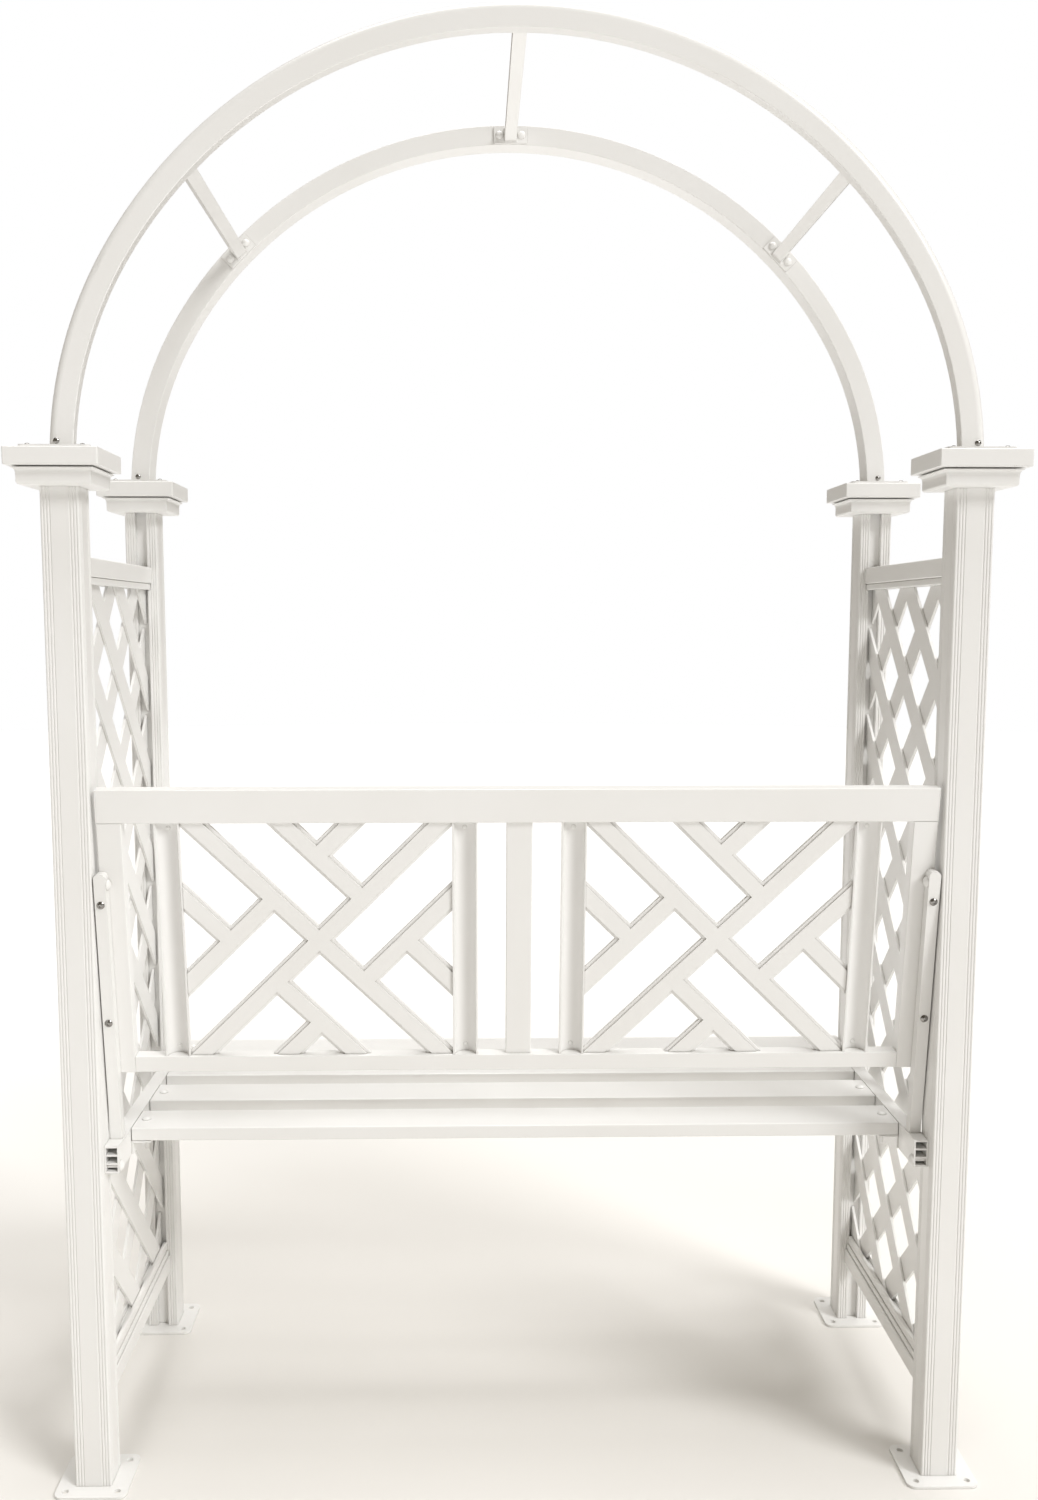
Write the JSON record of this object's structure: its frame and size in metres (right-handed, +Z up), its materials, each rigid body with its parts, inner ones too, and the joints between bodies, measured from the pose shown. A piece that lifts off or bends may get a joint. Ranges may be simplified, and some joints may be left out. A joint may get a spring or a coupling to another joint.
{
  "type": "garden arch with bench",
  "caption": "Garden arch of two bent tubes on reeded posts, with lattice sides and a slatted bench that has a fretwork back.",
  "frame": {"origin": "middle of the footprint, on the ground", "axes": "+Z up, +X to the right and -Y towards the viewer when the bench is seen from behind; a person on the bench faces +Y"},
  "size_m": [1.308, 0.562, 1.9795],
  "materials": {
    "white_extrusion": "white satin powder coat on extruded aluminium",
    "white_casting": "white satin powder coat on cast aluminium",
    "white_fret": "white satin powder coat on cast aluminium",
    "white_strip": "white satin powder coat on flat aluminium strip",
    "white_tube": "white satin powder coat on bent aluminium tube",
    "white_slat": "white satin powder coat on aluminium plank",
    "white_bolt": "white gloss coating on steel",
    "white_plug": "white moulded plastic",
    "plain_steel": "bare stainless steel"
  },
  "bodies": {
    "root": {"angle_rivets": "plain_steel", "arch_foot_plates": "white_casting", "arch_foot_screws": "plain_steel", "arch_front": "white_tube", "arch_rear": "white_tube", "back_bottom_rail": "white_extrusion", "back_brace_left": "white_extrusion", "back_brace_right": "white_extrusion", "back_centre_slat": "white_extrusion", "back_channel_inner_left": "white_extrusion", "back_channel_inner_right": "white_extrusion", "back_channel_outer_left": "white_extrusion", "back_channel_outer_right": "white_extrusion", "back_rail_plugs": "white_plug", "back_stile_left": "white_extrusion", "back_stile_right": "white_extrusion", "back_top_rail": "white_extrusion", "base_plate_front_left": "white_casting", "base_plate_front_right": "white_casting", "base_plate_rear_left": "white_casting", "base_plate_rear_right": "white_casting", "brace_screws": "plain_steel", "cap_moulding_front_left": "white_casting", "cap_moulding_front_right": "white_casting", "cap_moulding_rear_left": "white_casting", "cap_moulding_rear_right": "white_casting", "cap_slab_front_left": "white_casting", "cap_slab_front_right": "white_casting", "cap_slab_rear_left": "white_casting", "cap_slab_rear_right": "white_casting", "crossbar_bolts": "white_bolt", "crossbar_left": "white_tube", "crossbar_right": "white_tube", "crossbar_top": "white_tube", "dome_bolts": "white_bolt", "fret_panel_left": "white_fret", "fret_panel_right": "white_fret", "lattice_bottom_rail_left": "white_extrusion", "lattice_bottom_rail_right": "white_extrusion", "lattice_falling_strips_left": "white_strip", "lattice_falling_strips_right": "white_strip", "lattice_rising_strips_left": "white_strip", "lattice_rising_strips_right": "white_strip", "lattice_top_rail_left": "white_extrusion", "lattice_top_rail_right": "white_extrusion", "post_front_left": "white_extrusion", "post_front_right": "white_extrusion", "post_inserts": "plain_steel", "post_rear_left": "white_extrusion", "post_rear_right": "white_extrusion", "seat_beam_left": "white_extrusion", "seat_beam_right": "white_extrusion", "seat_slat_1": "white_slat", "seat_slat_2": "white_slat", "seat_slat_3": "white_slat", "seat_slat_4": "white_slat", "slat_angle_left": "white_extrusion", "slat_angle_right": "white_extrusion", "slat_bolts": "white_bolt", "slat_nuts_and_washers": "plain_steel"}
  },
  "joints": []
}
